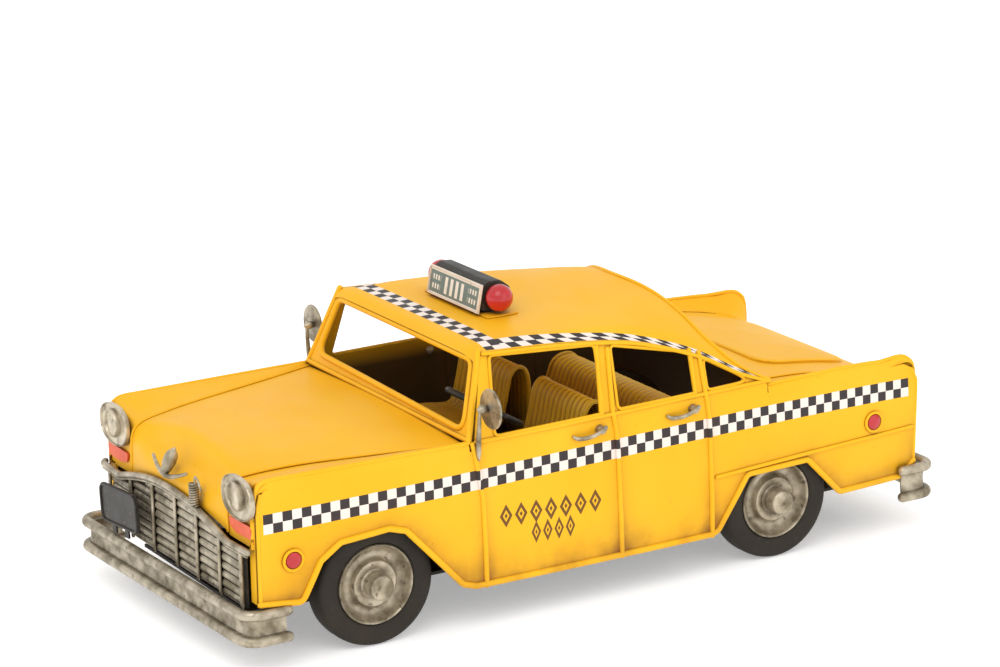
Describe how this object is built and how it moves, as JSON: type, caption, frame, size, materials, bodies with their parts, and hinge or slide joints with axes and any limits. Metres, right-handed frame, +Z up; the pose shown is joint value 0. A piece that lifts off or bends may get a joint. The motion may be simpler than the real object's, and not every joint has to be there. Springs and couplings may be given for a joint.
{
  "type": "friction tin car",
  "caption": "Hand-built tin-plate sedan taxi with open windows, check bands, a roof sign, and a friction motor geared to its rear axle.",
  "frame": {"origin": "middle of the car's length and width, on the surface that its tyres stand on", "axes": "+Z up, -Y towards the grille, +X towards the car's left side"},
  "size_m": [0.1536, 0.3093, 0.1161],
  "materials": {
    "yellow": "satin yellow paint with brown patina at the edges",
    "pewter": "aged pewter-coloured plating",
    "steel": "bare steel",
    "black": "satin black paint",
    "red_lens": "glossy red",
    "amber_lens": "satin orange",
    "sign_print": "printed panel",
    "seat": "brown-yellow wash over paint",
    "rubber": "matt black rubber"
  },
  "bodies": {
    "car_body": {"body_side_left": "yellow", "body_side_right": "yellow", "front_fender_left": "yellow", "front_fender_right": "yellow", "bonnet": "yellow", "windscreen_frame": "yellow", "roof_panel": "yellow", "rear_deck": "yellow", "boot_lid": "yellow", "sign_base": "yellow", "grille": "pewter", "grille_band": "pewter", "front_bumper": "pewter", "rear_bumper": "pewter", "headlamp_bezel_left": "pewter", "headlamp_bezel_right": "pewter", "headlamp_lens_left": "pewter", "headlamp_lens_right": "pewter", "mirror_left": "pewter", "mirror_right": "pewter", "front_handle_left": "pewter", "front_handle_right": "pewter", "rear_handle_left": "pewter", "rear_handle_right": "pewter", "bonnet_ornament": "pewter", "nose_spring": "steel", "motor_frame": "steel", "cabin_floor": "black", "chassis_base": "black", "number_plate": "black", "sign_box": "black", "steering_wheel": "black", "steering_column": "black", "front_reflector_left": "red_lens", "front_reflector_right": "red_lens", "rear_reflector_left": "red_lens", "rear_reflector_right": "red_lens", "tail_lamp_left": "red_lens", "tail_lamp_right": "red_lens", "sign_lamp_left": "red_lens", "sign_lamp_right": "red_lens", "turn_lens_left": "amber_lens", "turn_lens_right": "amber_lens", "sign_face": "sign_print", "front_seat_left": "seat", "front_seat_right": "seat", "rear_seat": "seat"},
    "front_wheels": {"front_axle": "steel", "front_hub_left": "pewter", "front_hub_right": "pewter", "front_tyre_left": "rubber", "front_tyre_right": "rubber"},
    "rear_wheels": {"rear_axle": "steel", "rear_hub_left": "pewter", "rear_hub_right": "pewter", "rear_tyre_left": "rubber", "rear_tyre_right": "rubber", "drive_gear": "steel"},
    "idler": {"idler_gear": "steel"},
    "flywheel": {"flywheel": "steel"}
  },
  "joints": [
    {"name": "front_axle_spin", "type": "hinge", "parent": "car_body", "child": "front_wheels", "pos_m": [0, -0.0962, 0.0234], "axis": [1, 0, 0], "continuous": true},
    {"name": "rear_axle_spin", "type": "hinge", "parent": "car_body", "child": "rear_wheels", "pos_m": [0, 0.0787, 0.0234], "axis": [1, 0, 0], "continuous": true},
    {"name": "idler_spin", "type": "hinge", "parent": "car_body", "child": "idler", "pos_m": [0, 0.06688, 0.02548], "axis": [1, 0, 0], "continuous": true},
    {"name": "flywheel_spin", "type": "hinge", "parent": "car_body", "child": "flywheel", "pos_m": [0, 0.05493, 0.02653], "axis": [1, 0, 0], "continuous": true}
  ],
  "couplings": [
    {"joint": "idler_spin", "follows": "rear_axle_spin", "ratio": -2},
    {"joint": "flywheel_spin", "follows": "rear_axle_spin", "ratio": 4}
  ]
}
